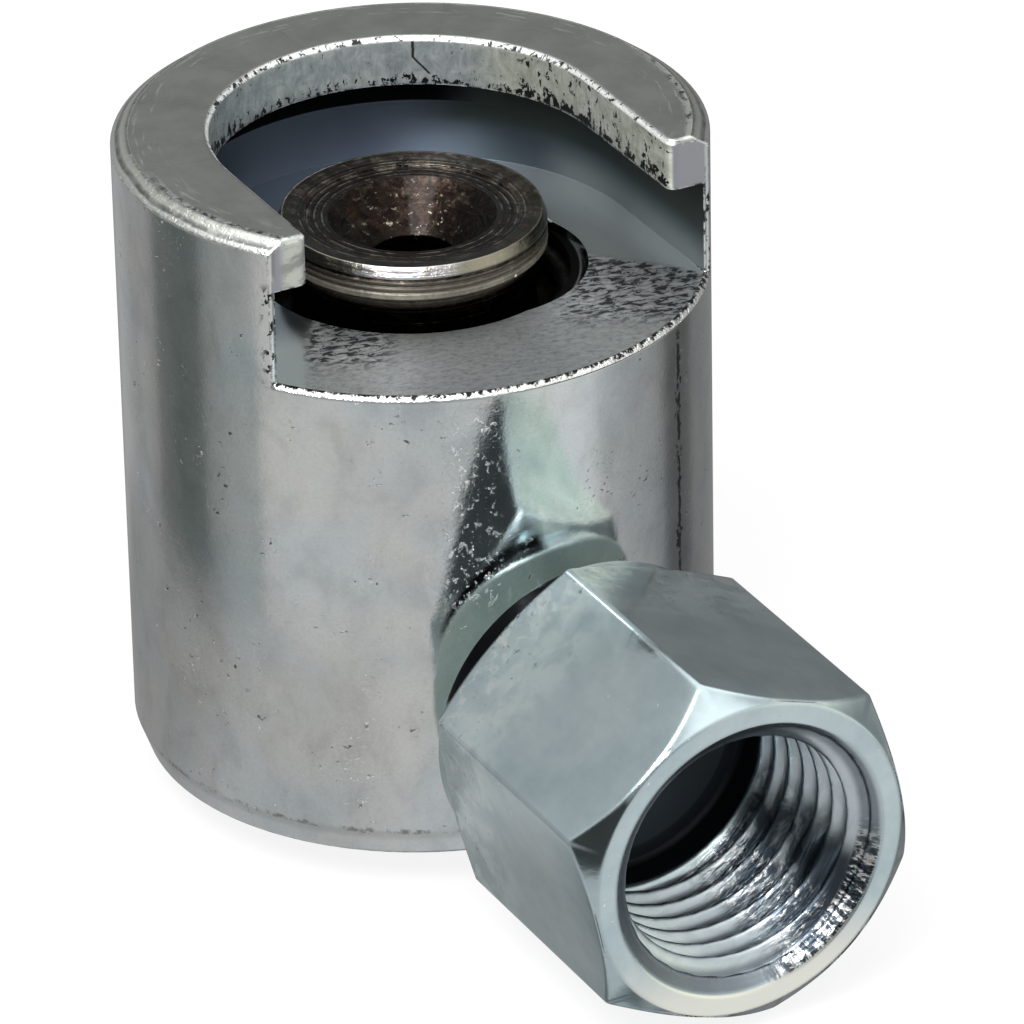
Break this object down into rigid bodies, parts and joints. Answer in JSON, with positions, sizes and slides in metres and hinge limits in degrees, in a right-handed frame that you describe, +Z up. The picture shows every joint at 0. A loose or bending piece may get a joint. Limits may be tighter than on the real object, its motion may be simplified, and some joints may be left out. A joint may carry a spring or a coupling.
{
  "type": "slide-on grease coupler",
  "caption": "Pull-on coupler with a T-slot for giant button-head grease nipples, a sprung sealing piston and a hexagonal side inlet with a female pipe thread.",
  "frame": {"origin": "centre of the round body's flat base", "axes": "+Z up the body's axis towards the lip that hooks over the nipple's head, and -Y out of the slot's open side and out of the hose inlet"},
  "size_m": [0.028, 0.0447, 0.0334],
  "materials": {
    "zinc_steel": "bright zinc plate, pitted and worn",
    "adapter_steel": "bright zinc plate",
    "piston_steel": "dark hardened steel, oily",
    "spring_steel": "oiled spring steel",
    "nitrile": "moulded rubber",
    "nylon": "machined plastic",
    "copper": "soft annealed metal",
    "ball_steel": "polished bearing steel"
  },
  "bodies": {
    "body": {"coupler_body": "zinc_steel", "snap_ring": "spring_steel", "piston_spring": "spring_steel", "inlet_adapter": "adapter_steel", "inlet_washer": "copper", "check_spring": "spring_steel", "check_retainer": "adapter_steel"},
    "piston": {"sealing_piston": "piston_steel", "backup_ring": "nylon", "piston_packing": "nitrile", "spring_seat": "zinc_steel"},
    "ball": {"check_ball": "ball_steel"}
  },
  "joints": [
    {"name": "piston_slide", "type": "slide", "parent": "body", "child": "piston", "axis": [0, 0, -1], "range_m": [0, 0.0027], "stiffness_N_per_m": 6000, "springref_m": -0.0015, "deforming": ["piston_spring"]},
    {"name": "check_lift", "type": "slide", "parent": "body", "child": "ball", "axis": [0, 1, 0], "range_m": [0, 0.001], "stiffness_N_per_m": 2000, "springref_m": -0.0003, "deforming": ["check_spring"]}
  ]
}
